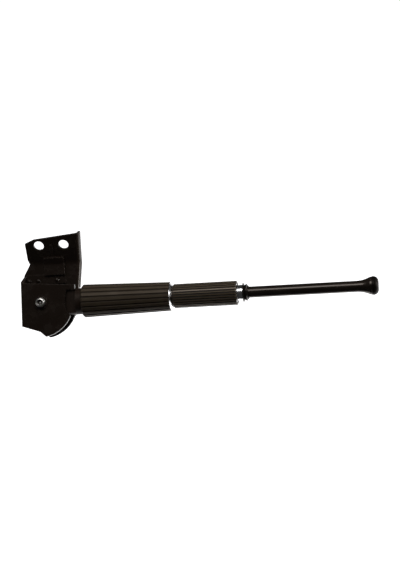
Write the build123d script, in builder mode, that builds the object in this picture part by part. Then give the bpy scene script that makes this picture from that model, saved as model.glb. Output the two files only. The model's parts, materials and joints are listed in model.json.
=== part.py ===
"""Door security bar: clevis bracket, swinging arm, twist-lock sleeve, rubber-tipped sliding tube.

Millimetres, +Z up. The origin is the centre of the two mounting holes on the back face of the mounting
plate, which lies flat on the door: the door is the XZ plane, on the +Y side. The arm is stored along +X.
The clevis leans away from the door, so the arm swings down and outward in a plane tilted by `lean`.
"""
from build123d import *
from math import cos, radians, sin, tan
import os

os.makedirs("parts", exist_ok=True)

# ---------------------------------------------------------------- bracket sizes
sheet = 2.5                 # bracket steel
lean = 32.0                 # degrees between the door and the plane that the arm swings in
hole_spacing = 25.0         # mounting holes, centre to centre
hole_r = 5.0                # mounting hole radius
hole_offset = 10.3          # centre of the mounting holes, right of the pivot
plate_rise = 19.7           # bend line up to the hole line
plate_left = 16.0           # left edge of the mounting plate, from the pivot
bend_x = 32.7               # where the flange's bend starts, right of the pivot at the bend line
plate_top_left = 22.3       # height of the plate's left shoulder over the bend line
plate_top_right = 31.6      # height of the flange's top corner
shoulder_run = 9.0          # sloped shoulder at the plate's top left corner
shoulder_rise = 3.8
bend_rise = 39.8            # pivot up to the bend line
bend_r = 7.0                # inside radius of that bend
relief_in = 1.5             # bend relief at the left end of the bend line
relief_up = 4.6

ear_gap = 14.0              # inside the clevis
ear_r = 33.2                # round edge of both ears
arc_left = 1.4              # centre of that round edge, from the pivot
arc_down = 1.0
ear_left = 20.7             # pivot to the outside of the left wall
ear_top_left = 20.0         # front ear's top edge, above the pivot
ear_top_right = 15.9
ear_foot = 22.4             # bottom left corner of the ears, below the pivot
foot_run = 1.5              # kink in the bottom edge, left of and below the pivot
foot_drop = 28.9
arc_from = -81.0            # ends of the round edge, degrees below the arm
arc_to = -24.0              # upper end on the front ear
rear_arc_to = 16.0          # and on the rear ear
notch_in = 9.2              # right edge of the front ear, cut back from the round edge in a shallow arc
notch_lip = 2.0
notch_low = 9.0
notch_mid = 2.5
tab_lap = 0.9               # stop tab's overlap with the neck's step face
stop_gap = 0.5              # tab to neck, as stored
wall_back = 28.7            # left wall's top edge where it meets the rear ear
corner_r = 3.0              # outside radius of the folded left corners
flange_r = 4.2              # outside bend radius of the returned right flange
flange_angle = 78.0
flange_lip = 2.4            # straight lip past the flange's bend
flange_tilt = 0.10          # how fast the flange runs out to the right, going up
bend_steps = 4              # sections that carry the flange round the bend
flange_foot = 14.6          # lower end of the flange above the pivot

# ---------------------------------------------------------------- stiffener sizes
stiff_t = 1.2
stiff_left = 17.9           # riveted foot, left of the pivot
stiff_right = 22.0
stiff_foot = 19.4           # bottom and top of the foot, above the pivot
stiff_step = 28.8
hat_left = 1.0              # raised channel across the bend
hat_right = 21.2
hat_proud = 3.4
hat_top = 7.4               # above the bend line
spine_width = 3.0           # slim rib between the mounting holes
spine_top = 21.0
spine_proud = 1.5
rivet_x = (-15.4, -6.3, 12.7)
rivet_up = 22.8
rivet_r = 1.5
rivet_head_r = 2.3
rivet_head_h = 1.3

# ---------------------------------------------------------------- arm sizes, x from the pivot
neck_r = 12.9               # neck, and half the height of the knuckle
neck_gap = 0.4              # ears' round edge to the full round of the neck, at the foot of the swing
neck_length = 5.9           # full round, up to the grip
grip_length = 87.0
grip_r0 = 16.2             # grip radius at the bracket end
grip_r1 = 14.0              # grip radius at the sleeve end
grip_edge = 1.4             # chamfer on the grip's left end
grip_flutes = 20
flute_r = 1.0
flute_depth = 0.75
ring_length = 2.5           # bevelled chrome ring closing the grip
ring_rim = 0.4              # chamfer on the ring's rim
ring_low = 0.5              # how far its low end stands over the outer tube
outer_r = 10.0              # outer tube
outer_wall = 1.5
spigot_length = 15.5        # knuckle spigot inside the outer tube
spigot_edge = 1.0
first_pin = 5.0             # spigot pins, from the grip's left end
pin_pitch = 6.0
pin_r = 1.5
nose_tail = 6.0             # nose bush's tail inside the outer tube
nose_step = 0.5             # nose smaller than the tail
clip_back = 8.0             # retaining ring, back from the nose bush's end
clip_t = 1.2
clip_share = 0.27           # share of the bush's wall that its groove takes
clip_opening = 60.0         # degrees
collet_length = 12.0
collet_taper = 3.0
collet_share = 0.44         # share of the collet's wall that the taper takes
slit = 1.0
slit_back = 3.0             # uncut root of the collet's fingers

# ---------------------------------------------------------------- twist sleeve sizes
sleeve_gap = 0.3            # sleeve to chrome ring
sleeve_length = 62.8
sleeve_wall = 1.75
sleeve_ribs = 28
rib_cut_r = 0.8
rib_depth = 0.5
sleeve_edge0 = 1.3          # chamfers at the sleeve's ends
sleeve_edge1 = 0.5
insert_in = 9.7             # insert, from the sleeve's start
insert_length = 25.0
insert_wall = 2.0
collar_in = 4.6             # chrome collar's flange, back inside the sleeve
collar_out = 5.4            # its body, past the sleeve
collar_wall = 2.1           # its body's radius, over the inner tube's
collar_sink = 0.6           # its flange, below the sleeve's end face
gland_in = 4.5              # gland's spigot in the collar
gland_out = 5.6
gland_wall = 1.3            # these radii are over the inner tube's
knife_wall0 = 4.1           # larger knife-edge flange
knife_wall1 = 2.9
vee_wall = 1.6
wiper_wall = 0.9
wiper_back = 4.1            # wiper groove, back from the gland's end
wiper_t = 2.0

# ---------------------------------------------------------------- sliding tube sizes
tube_r = 5.45
tube_wall = 1.4
tube_out = 113.9            # inner tube past the gland, as stored
guide_gap = 21.0            # knuckle spigot to guide bush, as stored
guide_length = 8.0
guide_lip = 1.0             # inner tube's end past the guide bush
guide_pin_r = 1.2
ferrule_in = 8.8            # ferrule's lap on the tube
ferrule_rise = 6.3          # these are along the ferrule from its start
ferrule_flare = 11.5
ferrule_length = 13.4
ferrule_mid_wall = 1.05     # these radii are over the inner tube's
ferrule_wall = 3.1
ferrule_rim_wall = 3.3
plug_in = 13.0
plug_length = 12.0
stem_r = 2.0
stem_length = 11.0          # stem inside the inner tube
tip_wall = 3.55             # rubber's radius over the inner tube's
tip_band = 2.0              # straight side of the rubber
tip_length = 6.3
tip_flat_r = 3.6
tip_dome_r = 5.0

# ---------------------------------------------------------------- pivot sizes
bolt_r = 3.0                # M6
head_r = 4.9
head_h = 4.2
head_edge = 0.8
socket_af = 4.4
socket_depth = 2.6
washer_r = 6.6
washer_t = 1.2
bush_r = 5.0                # spacer bush that the knuckle turns on
bearing_r = 6.5
nut_af = 10.0
nut_h = 6.0
nut_edge = 0.4              # how far the nut's rounded corners cut into its flats
bolt_past = 1.5             # bolt's end past the nut
friction_t = 0.8
friction_r = 12.5

# ---------------------------------------------------------------- named clearances
run = 0.05                  # radial running clearance
guide_fit = 0.08            # guide bush in the outer tube
side = 0.1                  # knuckle to friction washer, each side
bolt_clear = 0.2            # bolt in a plain hole
loose = 0.6                 # free annular space round the inner tube, and round the retaining ring
collet_gap = 0.5            # collet to the collar's flange

# ---------------------------------------------------------------- worked-out places, x from the pivot
lean_c, lean_s = cos(radians(lean)), sin(radians(lean))
across = Vector(0, lean_c, -lean_s)         # hinge axis, from the front ear to the rear ear
upward = Vector(0, lean_s, lean_c)          # up along the ears
half_gap = ear_gap / 2
half_stack = half_gap + sheet
bend_line = Vector(-hole_offset, -sheet, -plate_rise)
pivot = bend_line - across * half_gap - upward * bend_rise
neck_start = ear_r + arc_down + neck_gap
tab_reach = neck_start - stop_gap
tongue = ear_gap - 2 * (friction_t + side)

outer_bore = outer_r - outer_wall
nose_r = outer_bore - nose_step
sleeve_bore = nose_r + insert_wall
sleeve_r = sleeve_bore + sleeve_wall
clip_r = sleeve_bore - loose

grip_start = neck_start + neck_length
grip_end = grip_start + grip_length
ring_end = grip_end + ring_length
spigot_end = grip_start + spigot_length
sleeve_start = ring_end + sleeve_gap
sleeve_end = sleeve_start + sleeve_length
collar_start = sleeve_end - collar_in
collar_end = sleeve_end + collar_out
collet_end = collar_start - collet_gap
nose_end = collet_end - collet_length
gland_seat = collar_end - gland_in
gland_end = collar_end + gland_out
inner_end = gland_end + tube_out
guide_start = spigot_end + guide_gap
ferrule_start = inner_end - ferrule_in
ferrule_end = ferrule_start + ferrule_length

ear_plane = Plane(origin=pivot, x_dir=(1, 0, 0), z_dir=-across)      # x along the arm, y up the ears
side_plane = Plane(origin=pivot, x_dir=across, z_dir=(1, 0, 0))      # x across the clevis, y up the ears
plan_plane = Plane(origin=pivot, x_dir=(1, 0, 0), z_dir=upward)      # x along the arm, y across
door_plane = Plane(origin=(-hole_offset, 0, -plate_rise), x_dir=(1, 0, 0), z_dir=(0, -1, 0))
arm_axis = Axis(pivot, (1, 0, 0))
hinge_axis = Axis(pivot, across)


def section(x):
    """Plane square to the arm, x from the pivot."""
    return Plane(origin=pivot + Vector(x, 0, 0), x_dir=across, z_dir=(1, 0, 0))


def outline(*points, plane=ear_plane):
    """Closed straight-sided face; on the ear plane its points are (along the arm, radius)."""
    with BuildSketch(plane) as face:
        with BuildLine():
            Polyline(*points, close=True)
        make_face()
    return face.sketch


def tube_outline(start, end, outer, inner):
    """Half section of a plain tube round the arm."""
    return outline((start, inner), (end, inner), (end, outer), (start, outer))


def hinge_outline(near, far, outer, inner):
    """Half section of a plain ring round the hinge axis, from near to far across the clevis."""
    return outline((inner, near), (outer, near), (outer, far), (inner, far), plane=plan_plane)


def save(builder, label):
    """Label a finished piece and write it."""
    builder.part.label = label
    export_step(builder.part, f"parts/{label}.step")


def on_arc(angle):
    """Point of the ears' round edge."""
    return ear_r * cos(radians(angle)) - arc_left, ear_r * sin(radians(angle)) - arc_down


def ear_outline(notched, *top):
    """Edge of an ear: foot, round edge, the front ear's notch, stop tab, then the top given."""
    tab_under = neck_r - tab_lap
    end = arc_to if notched else rear_arc_to
    with BuildSketch(ear_plane) as face:
        with BuildLine():
            Polyline((-ear_left, -ear_foot), (-foot_run, -foot_drop), on_arc(arc_from))
            ThreePointArc(on_arc(arc_from), on_arc((arc_from + end) / 2), on_arc(end))
            corner = on_arc(end)
            if notched:
                notch_x = ear_r - notch_in
                notch_bottom = (notch_x + notch_lip / 2, -notch_low)
                notch_top = (notch_x + notch_lip, tab_under - stop_gap)
                Line(corner, notch_bottom)
                ThreePointArc(notch_bottom, (notch_x, -notch_mid), notch_top)
                corner = notch_top
            Polyline(corner, (tab_reach, tab_under), *top, (-ear_left, -ear_foot))
        make_face()
    return face.sketch


bend_axis_up = bend_rise - bend_r * tan(radians(lean / 2))       # axis of the bend, level above the pivot
bend_axis = pivot + across * (half_gap - bend_r) + upward * bend_axis_up


def sheet_profile(angle, shift):
    """Section of the back sheet and its flange, at an angle round the bend and shifted to the right."""
    along = upward * cos(radians(angle)) - across * sin(radians(angle))
    with BuildSketch(Plane(origin=bend_axis + Vector(shift, 0, 0), x_dir=(1, 0, 0), z_dir=along)) as face:
        with BuildLine():
            flat = Line((-2 * ear_left, bend_r + sheet / 2), (bend_x, bend_r + sheet / 2))
            curl = JernArc(flat @ 1, flat % 1, flange_r - sheet / 2, flange_angle)
            Line(curl @ 1, curl @ 1 + (curl % 1) * flange_lip)
        trace(line_width=sheet)
    return face.sketch


# ---------------------------------------------------------------- bracket
far_right = bend_x + 3 * flange_r + flange_lip      # past the flange's edge

with BuildPart() as back_trim:                           # everything the back sheet may fill
    rear_edge = ear_outline(False, (tab_reach, flange_foot), (far_right, flange_foot),
                            (far_right, bend_rise + sheet), (-plate_left + relief_in, bend_rise),
                            (-ear_left, wall_back))
    extrude(rear_edge, amount=-(half_gap + flange_r + flange_lip + sheet))
    with BuildSketch(door_plane.offset(-flange_r - flange_lip)):
        with BuildLine():
            Polyline((-plate_left + relief_in, -sheet), (-plate_left + relief_in, 0),
                     (-plate_left, relief_up), (-plate_left, plate_top_left),
                     (-plate_left + shoulder_run, plate_top_left + shoulder_rise),
                     (far_right, plate_top_right),
                     (far_right, -sheet), close=True)
        make_face()
    extrude(amount=flange_r + flange_lip + 3 * sheet)

with BuildPart() as bracket:
    below = bend_axis_up + ear_r + arc_down + sheet
    above = plate_top_right + 2 * sheet
    drift = bend_r * radians(lean) * flange_tilt
    extrude(sheet_profile(0, 0), amount=below, dir=(-flange_tilt, -upward.Y, -upward.Z))
    loft([sheet_profile(lean * k / bend_steps, drift * k / bend_steps) for k in range(bend_steps + 1)])
    extrude(sheet_profile(lean, drift), amount=above, dir=(flange_tilt, 0, 1))
    add(back_trim.part, mode=Mode.INTERSECT)
    front_edge = ear_outline(True, (tab_reach, ear_top_right), (-ear_left, ear_top_left))
    with BuildSketch(ear_plane.offset(half_gap)):            # front ear
        add(ear_plane.to_local_coords(front_edge))
    extrude(amount=sheet)
    with BuildSketch(side_plane.offset(-ear_left)):          # left wall
        with BuildLine():
            Polyline((-half_stack, -ear_foot), (half_stack, -ear_foot), (half_stack, wall_back),
                     (-half_stack, ear_top_left), close=True)
        make_face()
    extrude(amount=sheet)
    with BuildSketch(ear_plane):                             # pivot holes
        Circle(bolt_r + bolt_clear)
    extrude(amount=half_stack + sheet, both=True, mode=Mode.SUBTRACT)
    with BuildSketch(ear_plane.offset(-half_stack)):         # rivet holes
        with Locations(*[(x, rivet_up) for x in rivet_x]):
            Circle(rivet_r)
    extrude(amount=sheet, mode=Mode.SUBTRACT)
    with BuildSketch(Plane.XZ):                              # mounting holes
        with GridLocations(hole_spacing, 0, 2, 1):
            Circle(hole_r)
    extrude(amount=2 * sheet, both=True, mode=Mode.SUBTRACT)
    for face in (1, -1):                                     # folded corners of the left wall
        with BuildSketch(plan_plane.offset(-ear_r)):
            with Locations((corner_r / 2 - ear_left, face * (half_stack - corner_r / 2))):
                Rectangle(corner_r, corner_r)
            with Locations((corner_r - ear_left, face * (half_stack - corner_r))):
                Circle(corner_r, mode=Mode.SUBTRACT)
        extrude(amount=ear_r + wall_back, mode=Mode.SUBTRACT)
save(bracket, "bracket")

# ---------------------------------------------------------------- stiffener riveted across the bend
with BuildPart() as stiffener:
    with BuildSketch(ear_plane.offset(-half_gap)):           # riveted foot
        with Locations(((stiff_right - stiff_left) / 2, (stiff_foot + stiff_step) / 2)):
            Rectangle(stiff_right + stiff_left, stiff_step - stiff_foot)
        with Locations(*[(x, rivet_up) for x in rivet_x]):
            Circle(rivet_r, mode=Mode.SUBTRACT)
    extrude(amount=stiff_t)
    for proud, low, high, left, right in (
            (hat_proud, stiff_step - stiff_t, hat_top, hat_left, hat_right),
            (spine_proud, stiff_step, spine_top, hole_offset - spine_width / 2,
             hole_offset + spine_width / 2)):
        with BuildSketch(side_plane.offset(left)):           # pressed channel, then its slim spine
            with BuildLine():
                mid = half_gap - proud / 2
                knee = bend_rise - proud / 4
                FilletPolyline((mid, low), (mid, knee), (mid - lean_s * high, knee + lean_c * high),
                               radius=bend_r - proud / 2)
            trace(line_width=proud)
        extrude(amount=right - left)
save(stiffener, "stiffener")

with BuildPart() as stiffener_rivets:
    near, far = half_gap - stiff_t, half_stack
    dome = (rivet_head_r ** 2 + rivet_head_h ** 2) / (2 * rivet_head_h)
    for x in rivet_x:
        root = pivot + Vector(x, 0, 0) + upward * rivet_up
        with BuildSketch(Plane(origin=root, x_dir=(1, 0, 0), z_dir=upward)):
            with BuildLine():
                RadiusArc((0, far + rivet_head_h), (rivet_head_r, far), dome)
                Polyline((rivet_head_r, far), (rivet_r, far), (rivet_r, near), (rivet_head_r, near))
                RadiusArc((rivet_head_r, near), (0, near - rivet_head_h), dome)
                Line((0, near - rivet_head_h), (0, far + rivet_head_h))
            make_face()
        revolve(axis=Axis(root, across))
save(stiffener_rivets, "stiffener_rivets")

# ---------------------------------------------------------------- pivot
seat_front = -half_stack - washer_t                      # underside of the screw's head
nut_far = half_stack + washer_t + nut_h

with BuildPart() as pivot_bolt:
    with BuildSketch(plan_plane):
        with BuildLine():
            Polyline((head_r - head_edge, seat_front - head_h), (0, seat_front - head_h),
                     (0, nut_far + bolt_past), (bolt_r - head_edge / 2, nut_far + bolt_past),
                     (bolt_r, nut_far + bolt_past - head_edge / 2), (bolt_r, seat_front),
                     (head_r, seat_front), (head_r, seat_front - head_h + head_edge))
            RadiusArc((head_r, seat_front - head_h + head_edge), (head_r - head_edge, seat_front - head_h),
                      head_edge)
        make_face()
    revolve(axis=hinge_axis)
    with BuildSketch(ear_plane.offset(-seat_front + head_h)):
        RegularPolygon(socket_af / 2, 6, major_radius=False)
    extrude(amount=-socket_depth, mode=Mode.SUBTRACT)
save(pivot_bolt, "pivot_bolt")

with BuildPart() as pivot_washers:
    for start in (seat_front, half_stack):
        revolve(hinge_outline(start, start + washer_t, washer_r, bolt_r + bolt_clear), axis=hinge_axis)
save(pivot_washers, "pivot_washers")

with BuildPart() as pivot_nut:
    with BuildSketch(ear_plane.offset(-half_stack - washer_t)):
        RegularPolygon(nut_af / 2, 6, major_radius=False)
        Circle(bolt_r, mode=Mode.SUBTRACT)
    extrude(amount=-nut_h)
    corner = nut_af / 2 / cos(radians(30))
    rounded = outline((0, half_stack + washer_t), (corner, half_stack + washer_t),
                      (corner, nut_far - (corner - nut_af / 2)), (nut_af / 2 - nut_edge, nut_far),
                      (0, nut_far), plane=plan_plane)
    revolve(rounded, axis=hinge_axis, mode=Mode.INTERSECT)
save(pivot_nut, "pivot_nut")

with BuildPart() as pivot_bush:
    revolve(hinge_outline(-half_gap, half_gap, bush_r, bolt_r + run), axis=hinge_axis)
save(pivot_bush, "pivot_bush")

with BuildPart() as friction_washers:
    for start in (-half_gap, half_gap - friction_t):
        revolve(hinge_outline(start, start + friction_t, friction_r, bush_r + run), axis=hinge_axis)
save(friction_washers, "friction_washers")

# ---------------------------------------------------------------- arm
def cross_plane(x, direction):
    """Plane through the arm's axis for a cross hole, x from the pivot."""
    return Plane(origin=pivot + Vector(x, 0, 0), x_dir=(1, 0, 0), z_dir=direction)


pin_planes = (cross_plane(grip_start + first_pin, across),
              cross_plane(grip_start + first_pin + pin_pitch, upward))

with BuildPart() as knuckle:
    revolve(outline((0, 0), (0, neck_r), (grip_start - side, neck_r), (grip_start, neck_r - side),
                    (grip_start, outer_bore), (spigot_end - spigot_edge, outer_bore),
                    (spigot_end, outer_bore - spigot_edge), (spigot_end, 0)), axis=arm_axis)
    for face in (1, -1):                                     # flats that run between the ears
        with BuildSketch(ear_plane.offset(face * tongue / 2)):
            with Locations(((neck_start - neck_r) / 2, 0)):
                Rectangle(neck_start + neck_r, 2 * neck_r)
        extrude(amount=face * neck_r, mode=Mode.SUBTRACT)
    with BuildSketch(ear_plane):
        Circle(neck_r)
    extrude(amount=tongue / 2, both=True)
    with BuildSketch(ear_plane):
        Circle(bearing_r)
    extrude(amount=tongue, both=True, mode=Mode.SUBTRACT)
    for plane in pin_planes:
        with BuildSketch(plane):
            Circle(pin_r)
        extrude(amount=outer_r, both=True, mode=Mode.SUBTRACT)
save(knuckle, "knuckle")

with BuildPart() as knuckle_bearing:
    revolve(hinge_outline(-tongue / 2, tongue / 2, bearing_r, bush_r + run), axis=hinge_axis)
save(knuckle_bearing, "knuckle_bearing")

with BuildPart() as outer_tube:
    revolve(tube_outline(grip_start, ring_end, outer_r, outer_bore), axis=arm_axis)
    for plane in pin_planes:
        with BuildSketch(plane):
            Circle(pin_r)
        extrude(amount=2 * outer_r, both=True, mode=Mode.SUBTRACT)
save(outer_tube, "outer_tube")

with BuildPart() as spigot_pins:
    for plane in pin_planes:
        with BuildSketch(plane):
            Circle(pin_r)
        extrude(amount=outer_r - pin_r / 4, both=True)
save(spigot_pins, "spigot_pins")

with BuildPart() as grip:
    revolve(outline((grip_start, outer_r), (grip_start, grip_r0 - grip_edge),
                    (grip_start + grip_edge, grip_r0), (grip_end, grip_r1), (grip_end, outer_r)),
            axis=arm_axis)
    flutes = []
    for i in range(grip_flutes):                             # shallow flutes that follow the taper
        turn = 360 / grip_flutes * (i + 0.5)
        out = across * sin(radians(turn)) + upward * cos(radians(turn))
        start = pivot + Vector(grip_start, 0, 0) + out * (grip_r0 + flute_r - flute_depth)
        flutes.append(Plane(origin=start, z_dir=Vector(grip_length, 0, 0) + out * (grip_r1 - grip_r0)))
    with Locations(*flutes):
        Cylinder(flute_r, grip_length + grip_r0 - grip_r1, align=(Align.CENTER, Align.CENTER, Align.MIN),
                 mode=Mode.SUBTRACT)
save(grip, "grip")

with BuildPart() as grip_end_ring:
    ring_r = grip_r1 - ring_rim
    revolve(outline((grip_end, outer_r), (grip_end, ring_r - ring_rim), (grip_end + ring_rim, ring_r),
                    (ring_end, outer_r + ring_low), (ring_end, outer_r)), axis=arm_axis)
save(grip_end_ring, "grip_end_ring")

with BuildPart() as nose_bush:
    bore = tube_r + loose
    clip_start = nose_end - clip_back
    groove_r = nose_r - clip_share * (nose_r - bore)
    revolve(outline((ring_end - nose_tail, bore), (ring_end - nose_tail, outer_bore),
                    (ring_end, outer_bore), (ring_end, nose_r), (clip_start, nose_r),
                    (clip_start, groove_r),
                    (clip_start + clip_t, groove_r), (clip_start + clip_t, nose_r), (nose_end, nose_r),
                    (nose_end, bore)), axis=arm_axis)
save(nose_bush, "nose_bush")

with BuildPart() as retaining_ring:
    revolve(tube_outline(clip_start, clip_start + clip_t, clip_r, groove_r), axis=arm_axis,
            revolution_arc=360 - clip_opening)
save(retaining_ring, "retaining_ring")

with BuildPart() as clamp_collet:
    collet_bore = tube_r + run
    taper_r = nose_r - collet_share * (nose_r - collet_bore)
    revolve(outline((nose_end, collet_bore), (nose_end, nose_r), (collet_end - collet_taper, nose_r),
                    (collet_end, taper_r), (collet_end, collet_bore)), axis=arm_axis)
    with BuildSketch(section(collet_end)):
        with PolarLocations(nose_r / 2, 3):
            Rectangle(nose_r, slit)
    extrude(amount=slit_back - collet_length, mode=Mode.SUBTRACT)
save(clamp_collet, "clamp_collet")

# ---------------------------------------------------------------- twist sleeve
with BuildPart() as lock_sleeve:
    with BuildSketch(section(sleeve_start)):
        Circle(sleeve_r)
        with PolarLocations(sleeve_r + rib_cut_r - rib_depth, sleeve_ribs):
            Circle(rib_cut_r, mode=Mode.SUBTRACT)
        Circle(sleeve_bore, mode=Mode.SUBTRACT)
    extrude(amount=sleeve_length)
    revolve(outline((sleeve_start, 0), (sleeve_start, sleeve_r - sleeve_edge0),
                    (sleeve_start + sleeve_edge0, sleeve_r), (sleeve_end - sleeve_edge1, sleeve_r),
                    (sleeve_end, sleeve_r - sleeve_edge1), (sleeve_end, 0)),
            axis=arm_axis, mode=Mode.INTERSECT)
save(lock_sleeve, "lock_sleeve")

with BuildPart() as sleeve_insert:
    insert_start = sleeve_start + insert_in
    revolve(tube_outline(insert_start, insert_start + insert_length, sleeve_bore, nose_r + run),
            axis=arm_axis)
save(sleeve_insert, "sleeve_insert")

with BuildPart() as chrome_collar:
    flange_end = sleeve_end - collar_sink
    gland_r = tube_r + gland_wall
    collar_r = tube_r + collar_wall
    revolve(outline((collar_start, bore), (collar_start, sleeve_bore), (flange_end, sleeve_bore),
                    (flange_end, collar_r), (collar_end, collar_r), (collar_end, gland_r),
                    (gland_seat, gland_r), (gland_seat, bore)), axis=arm_axis)
save(chrome_collar, "chrome_collar")

with BuildPart() as gland:
    eighth = gland_out / 8                                   # of the gland's visible length
    knife0, knife1 = tube_r + knife_wall0, tube_r + knife_wall1
    wiper_start = gland_end - wiper_back
    wiper_end = wiper_start + wiper_t
    wiper_r = tube_r + wiper_wall
    revolve(outline((gland_seat, bore), (gland_seat, gland_r), (collar_end, gland_r),
                    (collar_end + eighth / 2, knife0), (collar_end + eighth, knife0),
                    (collar_end + 3 * eighth, tube_r + vee_wall), (collar_end + 5 * eighth, knife1),
                    (collar_end + 6 * eighth, knife1), (collar_end + 7 * eighth, gland_r),
                    (gland_end, gland_r), (gland_end, bore), (wiper_end, bore), (wiper_end, wiper_r),
                    (wiper_start, wiper_r), (wiper_start, bore)), axis=arm_axis)
save(gland, "gland")

with BuildPart() as wiper_ring:
    revolve(tube_outline(wiper_start, wiper_end, wiper_r, tube_r + run), axis=arm_axis)
save(wiper_ring, "wiper_ring")

# ---------------------------------------------------------------- sliding tube
tube_bore = tube_r - tube_wall
guide_r = outer_bore - guide_fit
guide_plane = cross_plane(guide_start + guide_length / 2, upward)

with BuildPart() as inner_tube:
    revolve(tube_outline(guide_start - guide_lip, inner_end, tube_r, tube_bore), axis=arm_axis)
    with BuildSketch(guide_plane):
        Circle(guide_pin_r)
    extrude(amount=2 * tube_r, both=True, mode=Mode.SUBTRACT)
save(inner_tube, "inner_tube")

with BuildPart() as guide_bush:
    revolve(tube_outline(guide_start, guide_start + guide_length, guide_r, tube_r), axis=arm_axis)
    with BuildSketch(guide_plane):
        Circle(guide_pin_r)
    extrude(amount=2 * guide_r, both=True, mode=Mode.SUBTRACT)
save(guide_bush, "guide_bush")

with BuildPart() as guide_pin:
    with BuildSketch(guide_plane):
        Circle(guide_pin_r)
    extrude(amount=guide_r - guide_pin_r / 3, both=True)
save(guide_pin, "guide_pin")

rim_r = tube_r + ferrule_rim_wall

with BuildPart() as end_ferrule:
    flare = (ferrule_start + ferrule_flare, tube_r + ferrule_wall)
    with BuildSketch(ear_plane):
        with BuildLine():
            Line((ferrule_start, tube_r), (ferrule_start, tube_r + run))
            ThreePointArc((ferrule_start, tube_r + run),
                          (ferrule_start + ferrule_rise, tube_r + ferrule_mid_wall), flare)
            Polyline(flare, (ferrule_end, rim_r), (ferrule_end, stem_r), (inner_end, stem_r),
                     (inner_end, tube_r), (ferrule_start, tube_r))
        make_face()
    revolve(axis=arm_axis)
save(end_ferrule, "end_ferrule")

with BuildPart() as tip_plug:
    plug_start = inner_end - plug_in
    revolve(tube_outline(plug_start, plug_start + plug_length, tube_bore, stem_r), axis=arm_axis)
save(tip_plug, "tip_plug")

with BuildPart() as rubber_tip:
    tip_r = tube_r + tip_wall
    tip_end = ferrule_end + tip_length
    with BuildSketch(ear_plane):
        with BuildLine():
            RadiusArc((ferrule_end + tip_band, tip_r), (tip_end, tip_flat_r), tip_dome_r)
            Polyline((tip_end, tip_flat_r), (tip_end, 0), (inner_end - stem_length, 0),
                     (inner_end - stem_length, stem_r), (ferrule_end, stem_r), (ferrule_end, rim_r),
                     (ferrule_end + tip_r - rim_r, tip_r), (ferrule_end + tip_band, tip_r))
        make_face()
    revolve(axis=arm_axis)
save(rubber_tip, "rubber_tip")
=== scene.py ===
"""Looks of a folding, telescoping door security bar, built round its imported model."""
import json
import logging
import math
from dataclasses import dataclass
from enum import Enum
from typing import Any, ClassVar, Optional, Sequence, Union

import bmesh
import bpy
from mathutils import Matrix, Vector


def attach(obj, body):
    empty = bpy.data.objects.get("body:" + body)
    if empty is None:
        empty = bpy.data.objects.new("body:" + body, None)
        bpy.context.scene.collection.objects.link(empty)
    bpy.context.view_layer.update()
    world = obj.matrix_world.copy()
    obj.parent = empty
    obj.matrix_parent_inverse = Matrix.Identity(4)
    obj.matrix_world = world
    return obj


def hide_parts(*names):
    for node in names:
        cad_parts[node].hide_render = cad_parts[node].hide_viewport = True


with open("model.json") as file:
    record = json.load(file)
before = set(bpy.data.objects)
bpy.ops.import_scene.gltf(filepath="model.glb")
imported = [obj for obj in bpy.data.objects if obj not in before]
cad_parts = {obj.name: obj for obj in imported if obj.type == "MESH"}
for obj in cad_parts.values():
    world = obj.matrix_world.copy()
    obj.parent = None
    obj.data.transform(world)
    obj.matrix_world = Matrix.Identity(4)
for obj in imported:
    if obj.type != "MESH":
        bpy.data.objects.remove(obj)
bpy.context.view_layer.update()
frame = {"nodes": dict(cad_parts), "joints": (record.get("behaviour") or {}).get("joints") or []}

LOG = logging.getLogger("security_bar")
MM = 0.001
Number = Union[int, float]
Triple = tuple[float, float, float]
Colour = Triple
Paint = Union[Colour, bpy.types.NodeSocket]
NODES: dict[str, bpy.types.Object] = frame["nodes"]
HINGE = next(joint for joint in frame["joints"] if joint["name"] == "arm_pivot")
PIVOT = Vector(HINGE["pos_m"])
LEAN = math.atan2(-HINGE["axis"][2], HINGE["axis"][1])
SHARP = math.radians(35.0)


# ---------------------------------------------------------------- shader graph
class Val:
    """One number socket of a shader graph, for use in plain arithmetic."""

    def __init__(self, graph: "Graph", socket: bpy.types.NodeSocket) -> None:
        """Wrap a socket.

        Args:
            graph: The graph that the socket is in.
            socket: The output socket.
        """
        self.graph = graph
        self.socket = socket

    def _math(self, operation: str, *values: Union["Val", Number]) -> "Val":
        """Add one Math node.

        Args:
            operation: The node's operation.
            values: Its inputs, in order.

        Returns:
            The node's result.
        """
        node = self.graph.node("ShaderNodeMath", {"operation": operation}, dict(enumerate(values)))
        return Val(self.graph, node.outputs[0])

    def __add__(self, other: Union["Val", Number]) -> "Val":
        """Sum."""
        return self._math("ADD", self, other)

    def __radd__(self, other: Number) -> "Val":
        """Sum, the number first."""
        return self._math("ADD", other, self)

    def __sub__(self, other: Union["Val", Number]) -> "Val":
        """Difference."""
        return self._math("SUBTRACT", self, other)

    def __rsub__(self, other: Number) -> "Val":
        """Difference, the number first."""
        return self._math("SUBTRACT", other, self)

    def __mul__(self, other: Union["Val", Number]) -> "Val":
        """Product."""
        return self._math("MULTIPLY", self, other)

    def __rmul__(self, other: Number) -> "Val":
        """Product, the number first."""
        return self._math("MULTIPLY", other, self)

    def arctan2(self, other: "Val") -> "Val":
        """Angle, in radians, whose sine and cosine go as this value and the other."""
        return self._math("ARCTAN2", self, other)

    def cosine(self) -> "Val":
        """Cosine of this value, in radians."""
        return self._math("COSINE", self)

    def smooth(self, low: float, high: float) -> "Val":
        """Smooth step from 0 at low to 1 at high.

        Args:
            low: Value that gives 0.
            high: Value that gives 1.

        Returns:
            The stepped value.
        """
        node = self.graph.node("ShaderNodeMapRange", {"interpolation_type": "SMOOTHSTEP"},
                               {"Value": self, "From Min": low, "From Max": high})
        return Val(self.graph, node.outputs["Result"])


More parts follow.
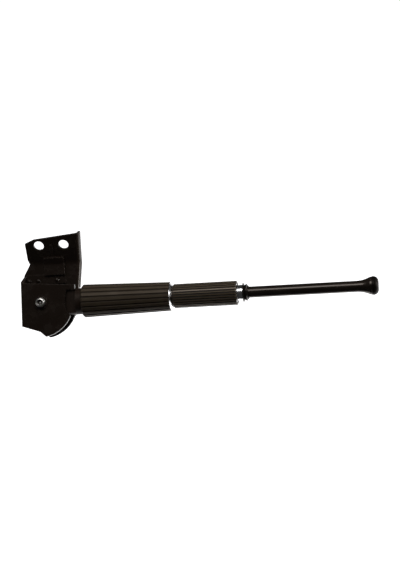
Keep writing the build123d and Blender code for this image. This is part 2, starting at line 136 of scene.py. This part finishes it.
@dataclass(frozen=True)
class Blotch:
    """Soft blotches on a surface, and the span of the noise over which they fade in."""

    size: float
    detail: float
    rough: float
    low: float
    high: float


class Graph:
    """Node graph of one material."""

    edge_samples: ClassVar[int] = 4
    edge_span: ClassVar[tuple[float, float]] = (0.02, 0.25)

    def __init__(self, name: str) -> None:
        """Start an empty material.

        Args:
            name: The material's name.
        """
        self.material = bpy.data.materials.new(name)
        self.material.use_nodes = True
        self.tree = self.material.node_tree
        self.tree.nodes.clear()

    def node(self, kind: str, settings: Optional[dict[str, Any]] = None,
             inputs: Optional[dict[Union[str, int], Any]] = None) -> bpy.types.Node:
        """Add a node: its settings first, then its sockets.

        Args:
            kind: Node type.
            settings: Its attributes.
            inputs: Value, Val or socket for each input, by name or number.

        Returns:
            The node.
        """
        made = self.tree.nodes.new(kind)
        for key, value in (settings or {}).items():
            setattr(made, key, value)
        for key, value in (inputs or {}).items():
            socket = made.inputs[key]
            if isinstance(value, Val):
                self.tree.links.new(value.socket, socket)
            elif isinstance(value, bpy.types.NodeSocket):
                self.tree.links.new(value, socket)
            elif isinstance(value, tuple) and len(value) == 3 and socket.type == "RGBA":
                socket.default_value = (*value, 1.0)
            else:
                socket.default_value = value
        return made

    def place(self) -> bpy.types.NodeSocket:
        """Point on the object, in metres in its own frame."""
        return self.node("ShaderNodeTexCoord").outputs["Object"]

    def noise(self, size: float, detail: float, rough: float) -> Val:
        """Soft noise.

        Args:
            size: Rough size of one blotch, in metres.
            detail: Octaves.
            rough: How strong the finer octaves are.

        Returns:
            A number round 0.5.
        """
        node = self.node("ShaderNodeTexNoise", None,
                         {"Vector": self.place(), "Scale": 1 / size, "Detail": detail, "Roughness": rough})
        return Val(self, node.outputs[0])

    def blotches(self, kind: Blotch) -> Val:
        """Mask that is 1 on the blotches."""
        return self.noise(kind.size, kind.detail, kind.rough).smooth(kind.low, kind.high)

    def mix(self, share: Val, low: Paint, high: Paint) -> bpy.types.NodeSocket:
        """Blend of two colours.

        Args:
            share: Share of the second.
            low: First colour.
            high: Second colour.

        Returns:
            The colour socket.
        """
        node = self.node("ShaderNodeMix", {"data_type": "RGBA"}, {0: share, 6: low, 7: high})
        return node.outputs[2]

    def split(self) -> tuple[Val, Val, Val]:
        """Coordinates of the point on the object."""
        node = self.node("ShaderNodeSeparateXYZ", None, {0: self.place()})
        return tuple(Val(self, socket) for socket in node.outputs)

    def grooves(self, count: int, phase: float) -> Val:
        """Even grooves round the arm's axis.

        Args:
            count: Number of grooves.
            phase: Angle of one groove about the axis, in radians from the door's normal.

        Returns:
            1 along the middle of a groove, 0 between two.
        """
        _, y, z = self.split()
        turn = (z - PIVOT.z).arctan2(y - PIVOT.y)
        return ((turn - phase) * count).cosine() * 0.5 + 0.5

    def edge(self, radius: float) -> tuple[Val, bpy.types.NodeSocket]:
        """Rounded look of sharp edges.

        Args:
            radius: Edge radius, in metres.

        Returns:
            A mask that is 1 on the edge, and the rounded normal.
        """
        rounded = self.node("ShaderNodeBevel", {"samples": self.edge_samples}, {"Radius": radius}).outputs[0]
        true = self.node("ShaderNodeNewGeometry").outputs["Normal"]
        dot = self.node("ShaderNodeVectorMath", {"operation": "DOT_PRODUCT"}, {0: rounded, 1: true})
        return (1 - Val(self, dot.outputs["Value"])).smooth(*self.edge_span), rounded

    def finish(self, shader: dict[str, Any], height: Optional[Val] = None, depth: float = 0.0,
               normal: Optional[bpy.types.NodeSocket] = None) -> bpy.types.Material:
        """Close the graph with one Principled shader.

        Args:
            shader: Its inputs.
            height: Relief from 0 to 1.
            depth: The relief's depth, in metres.
            normal: Normal under the relief.

        Returns:
            The material.
        """
        surface = self.node("ShaderNodeBsdfPrincipled", None, shader)
        if height is not None:
            inputs: dict[Union[str, int], Any] = {"Height": height, "Distance": depth, "Strength": 1.0}
            if normal is not None:
                inputs["Normal"] = normal
            bump = self.node("ShaderNodeBump", None, inputs)
            self.tree.links.new(bump.outputs[0], surface.inputs["Normal"])
        out = self.node("ShaderNodeOutputMaterial")
        self.tree.links.new(surface.outputs[0], out.inputs[0])
        return self.material


# ---------------------------------------------------------------- finishes
@dataclass(frozen=True)
class Enamel:
    """Black enamel on steel: orange peel, faint dust, glossier build-up along the edges, and a painted
    highlight that lightens the colour along every edge.
    """

    name: str
    colour: Colour = (0.0112, 0.0074, 0.0053)
    # Lighter colour: a painted highlight on the edges, and real wear under smears and dust.
    wear_and_highlight: Colour = (0.0500, 0.0400, 0.0340)
    tint: Colour = (1.0, 0.88, 0.78)
    gloss: float = 0.24
    coat: float = 0.18
    rim_coat: float = 0.80
    specular: float = 0.16
    peel: float = 1.6 * MM
    peel_depth: float = 0.004 * MM
    edge: float = 0.80 * MM
    smear: Blotch = Blotch(14 * MM, 4, 0.6, 0.42, 0.70)
    dust: Blotch = Blotch(0.5 * MM, 1, 0.5, 0.70, 0.78)
    # The edge weight paints a highlight into the edges' colour; the smear and dust weights are real wear.
    rim_highlight_and_wear: float = 0.8
    smear_wear: float = 0.12
    dust_wear: float = 0.3
    smear_dull: float = 0.07
    dust_dull: float = 0.25
    smear_coat: float = 0.08
    coat_gloss: float = 0.6

    def material(self) -> bpy.types.Material:
        """Build the material.

        Returns:
            The material.
        """
        g = Graph(self.name)
        rim, rounded = g.edge(self.edge)
        smear, dust = g.blotches(self.smear), g.blotches(self.dust)
        peel = g.noise(self.peel, detail=2, rough=0.4)
        # Painted highlight: the edge mask lightens the base colour; smears and dust lighten it as wear.
        wear_and_highlight = rim * self.rim_highlight_and_wear + smear * self.smear_wear + dust * self.dust_wear
        return g.finish({"Base Color": g.mix(wear_and_highlight, self.colour, self.wear_and_highlight),
                         "Roughness": self.gloss + smear * self.smear_dull + dust * self.dust_dull,
                         "Specular IOR Level": self.specular, "Specular Tint": self.tint,
                         "Coat Roughness": self.gloss * self.coat_gloss,
                         "Coat Weight": self.coat + rim * self.rim_coat - smear * self.smear_coat},
                        peel, self.peel_depth, rounded)


@dataclass(frozen=True)
class Plating:
    """Bright metal: chrome, zinc plate or bearing bronze."""

    name: str
    colour: Colour
    shade: Colour
    gloss: float
    grain: float = 1.1111 * MM
    depth: float = 0.002 * MM
    edge: float = 0.25 * MM
    cloud: Blotch = Blotch(4 * MM, 4, 0.55, 0.35, 0.70)
    cloud_shade: float = 0.6
    rim_shade: float = 0.4
    cloud_dull: float = 0.08
    grain_dull: float = 0.06

    def material(self) -> bpy.types.Material:
        """Build the material.

        Returns:
            The material.
        """
        g = Graph(self.name)
        rim, rounded = g.edge(self.edge)
        cloud = g.blotches(self.cloud)
        grain = g.noise(self.grain, detail=3, rough=0.6)
        colour = g.mix(cloud * self.cloud_shade + rim * self.rim_shade, self.colour, self.shade)
        return g.finish({"Base Color": colour, "Metallic": 1.0,
                         "Roughness": self.gloss + cloud * self.cloud_dull + grain * self.grain_dull},
                        grain, self.depth, rounded)


@dataclass(frozen=True)
class Moulded:
    """Moulded plastic or rubber: fine grain, handling marks, dust blotches, lighter edges that are partly a
    painted highlight, and painted shade darkening the middle of each groove between ribs.
    """

    name: str
    colour: Colour
    dusty: Colour
    gloss: float
    specular: float = 0.30
    tint: Colour = (1.0, 0.86, 0.74)
    ribs: int = 0
    rib_phase: float = 0.0
    # The rib weights paint shade into the grooves: the base colour is darkened towards the groove colour
    # below.
    rib_shade: float = 0.8
    rib_span: tuple[float, float] = (0.45, 0.95)
    groove_shade_colour: Colour = (0.0015, 0.0010, 0.0008)
    rib_dull: float = 0.45
    grain: float = 0.45 * MM
    grain_depth: float = 0.004 * MM
    edge: float = 0.3 * MM
    hand: Blotch = Blotch(18 * MM, 3, 0.6, 0.40, 0.70)
    dust: Blotch = Blotch(1.1 * MM, 4, 0.7, 0.60, 0.75)
    dusting: float = 0.30
    dust_dull: float = 0.5
    hand_shine: float = 0.08
    hand_wear: float = 0.15
    # The edge weight lightens the edges' colour, partly a painted highlight and partly wear.
    rim_highlight_and_wear: float = 0.25

    def material(self) -> bpy.types.Material:
        """Build the material.

        Returns:
            The material.
        """
        g = Graph(self.name)
        rim, rounded = g.edge(self.edge)
        grain = g.noise(self.grain, detail=2, rough=0.6)
        hand, dust = g.blotches(self.hand), g.blotches(self.dust)
        rough = self.gloss + dust * (self.dusting * self.dust_dull) - hand * self.hand_shine
        # Dust and handling marks lighten the colour as wear; the edge mask lightens it as a painted
        # highlight.
        wear_and_highlight = dust * self.dusting + rim * self.rim_highlight_and_wear + hand * self.hand_wear
        colour = g.mix(wear_and_highlight, self.colour, self.dusty)
        if self.ribs:
            # Painted shade: the middle of each groove is darkened towards the dark groove colour.
            low = g.grooves(self.ribs, self.rib_phase).smooth(*self.rib_span) * self.rib_shade
            colour = g.mix(low, colour, self.groove_shade_colour)
            rough = rough + low * self.rib_dull
        return g.finish({"Base Color": colour, "Roughness": rough, "Specular IOR Level": self.specular,
                         "Specular Tint": self.tint},
                        grain, self.grain_depth, rounded)


class Finish(Enum):
    """The finishes of the bar: one for each material slot, one for the neck and one for the painted shadow
    in the socket.
    """

    black_steel = Enamel("enamel")
    gloss_black = Enamel("tube_enamel", colour=(0.0075, 0.0050, 0.0036), gloss=0.17, coat=0.10,
                         rim_coat=0.1, specular=0.42, edge=0.15 * MM)
    bare_steel = Plating("zinc", (0.86, 0.84, 0.79), (0.68, 0.66, 0.62), 0.26)
    chrome = Plating("chrome", (0.88, 0.88, 0.89), (0.80, 0.81, 0.83), 0.12)
    # Painted shadow: a dark finish laid on the socket's walls and floor, where shade falls.
    socket = Plating("socket_shadow", (0.060, 0.052, 0.046), (0.030, 0.026, 0.023), 0.5)
    bronze = Plating("bronze", (0.66, 0.47, 0.24), (0.50, 0.33, 0.17), 0.30)
    white_nylon = Moulded("nylon", (0.80, 0.79, 0.75), (0.70, 0.68, 0.62), 0.45, specular=0.5)
    neck_black = Enamel("neck_enamel", colour=(0.0130, 0.0080, 0.0056), gloss=0.46, coat=0.0,
                        rim_coat=0.2, specular=0.10)
    # The grip and the sleeve darken their grooves with painted shade.
    grip_black = Moulded("grip_plastic", (0.0370, 0.0275, 0.0180), (0.065, 0.050, 0.035), 0.50,
                         specular=0.22, ribs=20, rib_phase=math.pi / 2 - LEAN - math.radians(9.0),
                         rib_shade=0.5, edge=0.2 * MM)
    sleeve_black = Moulded("sleeve_plastic", (0.0580, 0.0440, 0.0285), (0.088, 0.068, 0.048), 0.26,
                           specular=0.45, ribs=28, rib_phase=-LEAN, rib_shade=1.0,
                           rib_span=(0.15, 0.65), dusting=0.10, grain_depth=0.0006 * MM, edge=0.06 * MM)
    gland_black = Moulded("gland_plastic", (0.0060, 0.0050, 0.0042), (0.030, 0.027, 0.024), 0.24,
                          specular=0.25, edge=0.05 * MM)
    rubber = Moulded("tip_rubber", (0.0038, 0.0032, 0.0027), (0.016, 0.013, 0.011), 0.40, specular=0.07,
                     dusting=0.15)


# ---------------------------------------------------------------- studio
@dataclass(frozen=True)
class Lamp:
    """One soft box, placed from the point that it faces; one that isn't mirrored doesn't show in gloss."""

    name: str
    offset: Triple
    size: tuple[float, float]
    power: float
    mirrored: bool = True

    def build(self, aim: Vector) -> None:
        """Hang the lamp.

        Args:
            aim: The point that it faces.
        """
        offset = Vector(self.offset)
        data = bpy.data.lights.new(self.name, "AREA")
        data.shape = "RECTANGLE"
        data.size, data.size_y = self.size
        data.energy = self.power
        lamp = bpy.data.objects.new(self.name, data)
        lamp.visible_glossy = self.mirrored
        lamp.location = aim + offset
        lamp.rotation_euler = (-offset).to_track_quat("-Z", "Y").to_euler()
        bpy.context.scene.collection.objects.link(lamp)


@dataclass(frozen=True)
class Studio:
    """Camera, pale room and soft light."""

    aim: Vector = Vector((0.14666, -0.02564, -0.04106))
    azimuth: float = math.radians(9.9)
    elevation: float = math.radians(26.6)
    roll: float = math.radians(7.6)
    distance: float = 1.455
    lens: float = 135.0
    film_width: float = 36.0
    clip: tuple[float, float] = (0.05, 60.0)
    floor_drop: float = 0.62
    floor_size: float = 16.0
    floor_seam: float = -0.15
    wall_top: float = 5.0
    paper_glow: float = 1.0
    paper_tones: tuple[Colour, Colour] = ((0.93, 0.93, 0.93), (0.95, 0.95, 0.95))
    white: Colour = (1.0, 1.0, 1.0)
    room_glow: float = 0.03
    lamps: tuple[Lamp, ...] = (
        Lamp("overhead", (0.0, -0.47, 1.25), size=(1.2, 0.60), power=10.0),
        Lamp("back_box", (0.0, 0.55, 1.10), size=(1.2, 0.60), power=9.0, mirrored=False),
        Lamp("right_box", (1.3, 0.20, 0.15), size=(0.35, 0.9), power=16.0),
    )

    def camera(self) -> None:
        """Set the camera up."""
        az, el = self.azimuth, self.elevation
        right = Vector((math.cos(az), math.sin(az), 0.0))
        ahead = Vector((-math.sin(az) * math.cos(el), math.cos(az) * math.cos(el), -math.sin(el)))
        up = right.cross(ahead)
        side = right * math.cos(self.roll) - up * math.sin(self.roll)
        head = right * math.sin(self.roll) + up * math.cos(self.roll)
        data = bpy.data.cameras.new("camera")
        data.sensor_fit = "HORIZONTAL"
        data.sensor_width = self.film_width
        data.lens = self.lens
        data.clip_start, data.clip_end = self.clip
        camera = bpy.data.objects.new("camera", data)
        turn = Matrix((side, head, -ahead)).transposed().to_4x4()
        camera.matrix_world = Matrix.Translation(self.aim - ahead * self.distance) @ turn
        bpy.context.scene.collection.objects.link(camera)
        bpy.context.scene.camera = camera

    def sheet(self, name: str, corners: Sequence[Triple], paper: bpy.types.Material, lit: bool) -> None:
        """Hang or lay one sheet of the pale room.

        Args:
            name: The sheet's name.
            corners: Its corners.
            paper: Its finish.
            lit: Whether it sheds light on the object and shows in its gloss.
        """
        mesh = bpy.data.meshes.new(name)
        mesh.from_pydata(corners, [], [tuple(range(len(corners)))])
        mesh.materials.append(paper)
        made = bpy.data.objects.new(name, mesh)
        made.visible_glossy = lit
        made.visible_diffuse = lit
        bpy.context.scene.collection.objects.link(made)

    def paper(self) -> bpy.types.Material:
        """Pale paper with the faintest change of tone.

        Returns:
            The material.
        """
        g = Graph("room_paper")
        tone = g.mix(g.noise(0.25, detail=3, rough=0.5), *self.paper_tones)
        return g.finish({"Base Color": tone, "Roughness": 0.9, "Emission Color": self.white,
                         "Emission Strength": self.paper_glow})

    def room(self) -> None:
        """Lay the floor in two sheets and hang four walls; only the far sheet lights the object."""
        half, low, high = self.floor_size / 2, -self.floor_drop, self.wall_top
        paper = self.paper()
        for name, near, far, lit in (("floor_front", -half, self.floor_seam, False),
                                     ("floor_back", self.floor_seam, half, True)):
            self.sheet(name, [(-half, near, low), (half, near, low), (half, far, low), (-half, far, low)],
                       paper, lit)
        posts = [(-half, -half), (half, -half), (half, half), (-half, half)]
        for k, (x, y) in enumerate(posts):
            u, v = posts[k - 1]
            self.sheet(f"wall_{k}", [(x, y, low), (x, y, high), (u, v, high), (u, v, low)], paper, False)

    def light(self) -> None:
        """Hang the soft boxes and set the dim room."""
        for lamp in self.lamps:
            lamp.build(self.aim)
        world = bpy.data.worlds.new("room")
        world.use_nodes = True
        back = world.node_tree.nodes["Background"]
        back.inputs["Color"].default_value = (*self.white, 1.0)
        back.inputs["Strength"].default_value = self.room_glow
        bpy.context.scene.world = world
        bpy.context.scene.view_settings.view_transform = "Standard"


# ---------------------------------------------------------------- sub-assemblies
Materials = dict[Finish, bpy.types.Material]


@dataclass
class SubAssembly:
    """One moving body of the bar, made of solids that keep their shape and take a finish."""

    body: ClassVar[str] = ""
    pieces: ClassVar[dict[str, Finish]] = {}
    materials: Materials

    def dress(self) -> None:
        """Give each carried-over solid its finish."""
        for name, finish in self.pieces.items():
            for slot in NODES[name].material_slots:
                slot.material = self.materials[finish]
            LOG.info("%s: %s dressed in %s", self.body, name, finish.value.name)

    def build(self) -> None:
        """Make the sub-assembly's looks; more is built by those that need it."""
        self.dress()


def turned(name: str, rings: Sequence[Sequence[Vector]], ends: tuple[Vector, Vector]) -> bpy.types.Object:
    """Closed skin over a row of rings, capped at both ends.

    Args:
        name: The piece's name.
        rings: Equal rings of points, in order along the piece.
        ends: Middle point of the first and the last cap.

    Returns:
        The piece, smooth but for its sharp edges.
    """
    shell = bmesh.new()
    loops = [[shell.verts.new(point) for point in ring] for ring in rings]
    caps = [shell.verts.new(point) for point in ends]
    count = len(loops[0])
    for near, far in zip(loops, loops[1:]):
        for k in range(count):
            shell.faces.new((near[k - 1], near[k], far[k], far[k - 1]))
    for k in range(count):
        shell.faces.new((caps[0], loops[0][k], loops[0][k - 1]))
        shell.faces.new((caps[1], loops[-1][k - 1], loops[-1][k]))
    bmesh.ops.recalc_face_normals(shell, faces=shell.faces)
    mesh = bpy.data.meshes.new(name)
    shell.to_mesh(mesh)
    shell.free()
    for face in mesh.polygons:
        face.use_smooth = True
    mesh.set_sharp_from_angle(angle=SHARP)
    made = bpy.data.objects.new(name, mesh)
    bpy.context.scene.collection.objects.link(made)
    return made


@dataclass(frozen=True)
class PivotScrew:
    """Domed socket screw that the arm turns on; lengths along it are from the middle of the clevis."""

    shank_r: float = 3.0 * MM
    head_r: float = 4.9 * MM
    seat: float = 10.7 * MM
    crown: float = 14.9 * MM
    rim: float = 12.1 * MM
    land_r: float = 2.85 * MM
    mouth_r: float = 2.75 * MM
    socket_af: float = 4.4 * MM
    socket_floor: float = 12.3 * MM
    drill_r: float = 1.0 * MM
    tail: float = -18.2 * MM
    tail_edge: float = 0.4 * MM
    mouth_edge: float = 0.1 * MM
    slack: float = 0.1 * MM
    flats: int = 6
    dome_steps: int = 7
    segments: int = 72

    @property
    def front(self) -> Vector:
        """Way out through the front ear, along the screw."""
        return Vector((0.0, -math.cos(LEAN), math.sin(LEAN)))

    def ring(self, radius: float, along: float, sides: int = 0) -> list[Vector]:
        """One ring of the screw.

        Args:
            radius: Its radius, or half its width across the flats.
            along: Place along the screw.
            sides: Flats of a polygon; 0 for a circle.

        Returns:
            The ring's points.
        """
        front, right = self.front, Vector((1.0, 0.0, 0.0))
        up = front.cross(right)
        points = []
        for k in range(self.segments):
            turn = math.tau * k / self.segments
            reach = radius
            if sides:
                half = math.pi / sides
                reach = radius / math.cos((turn % (2 * half)) - half)
            points.append(PIVOT + front * along + (right * math.cos(turn) + up * math.sin(turn)) * reach)
        return points

    def in_socket(self, middle: Vector) -> bool:
        """Whether a face is in the socket, outside the drill's mark on its floor.

        Args:
            middle: The face's middle.

        Returns:
            True in the socket.
        """
        arm = middle - PIVOT
        along = arm.dot(self.front)
        out = (arm - self.front * along).length
        return (self.socket_floor - self.slack < along < self.crown
                and self.drill_r < out < self.mouth_r)

    def build(self, plate: bpy.types.Material, shadow: bpy.types.Material) -> bpy.types.Object:
        """Make the screw from its socket's floor round to its tail.

        Args:
            plate: Finish of the screw.
            shadow: Dark finish painted on its socket as shadow.

        Returns:
            The screw.
        """
        flat = self.socket_af / 2
        rings = [self.ring(self.drill_r, self.socket_floor), self.ring(flat, self.socket_floor, self.flats),
                 self.ring(flat, self.crown - self.tail_edge, self.flats),
                 self.ring(self.mouth_r, self.crown - self.mouth_edge), self.ring(self.land_r, self.crown)]
        for k in range(1, self.dome_steps + 1):
            turn = math.pi / 2 * k / self.dome_steps
            rings.append(self.ring(self.land_r + (self.head_r - self.land_r) * math.sin(turn),
                                   self.rim + (self.crown - self.rim) * math.cos(turn)))
        rings += [self.ring(self.head_r, self.seat), self.ring(self.shank_r, self.seat),
                  self.ring(self.shank_r, self.tail + self.tail_edge),
                  self.ring(self.shank_r - self.tail_edge, self.tail)]
        ends = (PIVOT + self.front * self.socket_floor, PIVOT + self.front * self.tail)
        screw = turned("pivot_screw", rings, ends)
        screw.data.materials.append(plate)
        screw.data.materials.append(shadow)
        # Socket faces take the painted shadow; the rest of the screw takes the plate.
        for face in screw.data.polygons:
            face.material_index = int(self.in_socket(face.center))
        return screw


@dataclass
class Clevis(SubAssembly):
    """Folded bracket with its riveted stiffener and the pivot screw."""

    screw: PivotScrew = PivotScrew()

    body: ClassVar[str] = "bracket"
    pieces: ClassVar[dict[str, Finish]] = {
        "bracket": Finish.black_steel, "stiffener": Finish.black_steel,
        "stiffener_rivets": Finish.black_steel, "pivot_washers": Finish.black_steel,
        "pivot_bolt": Finish.bare_steel, "pivot_nut": Finish.bare_steel,
        "pivot_bush": Finish.bronze, "friction_washers": Finish.white_nylon,
    }

    def build(self) -> None:
        """Dress the solids, then put the domed screw in the plain one's place."""
        self.dress()
        screw = self.screw.build(self.materials[Finish.bare_steel], self.materials[Finish.socket])
        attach(screw, self.body)
        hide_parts("pivot_bolt")
        LOG.info("%s: pivot_screw built", self.body)


@dataclass
class SwingArm(SubAssembly):
    """Knuckle, fluted grip, its chrome ring and the tube inside."""

    body: ClassVar[str] = "arm"
    pieces: ClassVar[dict[str, Finish]] = {
        "knuckle": Finish.neck_black, "knuckle_bearing": Finish.bronze, "outer_tube": Finish.bare_steel,
        "spigot_pins": Finish.bare_steel, "grip": Finish.grip_black, "grip_end_ring": Finish.chrome,
        "nose_bush": Finish.bare_steel, "retaining_ring": Finish.bare_steel, "clamp_collet": Finish.bronze,
    }


@dataclass
class LockSleeve(SubAssembly):
    """Ribbed twist sleeve with its chrome collar and gland."""

    body: ClassVar[str] = "sleeve"
    pieces: ClassVar[dict[str, Finish]] = {
        "lock_sleeve": Finish.sleeve_black, "sleeve_insert": Finish.bronze, "chrome_collar": Finish.chrome,
        "gland": Finish.gland_black, "wiper_ring": Finish.rubber,
    }


@dataclass
class SlidingTube(SubAssembly):
    """Glossy inner tube, its flared ferrule and the rubber foot."""

    body: ClassVar[str] = "inner"
    pieces: ClassVar[dict[str, Finish]] = {
        "inner_tube": Finish.gloss_black, "end_ferrule": Finish.gloss_black, "rubber_tip": Finish.rubber,
        "guide_bush": Finish.white_nylon, "guide_pin": Finish.bare_steel, "tip_plug": Finish.gland_black,
    }


def main() -> None:
    """Build the studio, then the looks of each sub-assembly."""
    logging.basicConfig(level=logging.INFO, format="%(message)s")
    studio = Studio()
    studio.camera()
    studio.room()
    studio.light()
    materials = {finish: finish.value.material() for finish in Finish}
    for kind in (Clevis, SwingArm, LockSleeve, SlidingTube):
        kind(materials).build()
    bpy.context.view_layer.update()


if __name__ == "__main__":
    main()
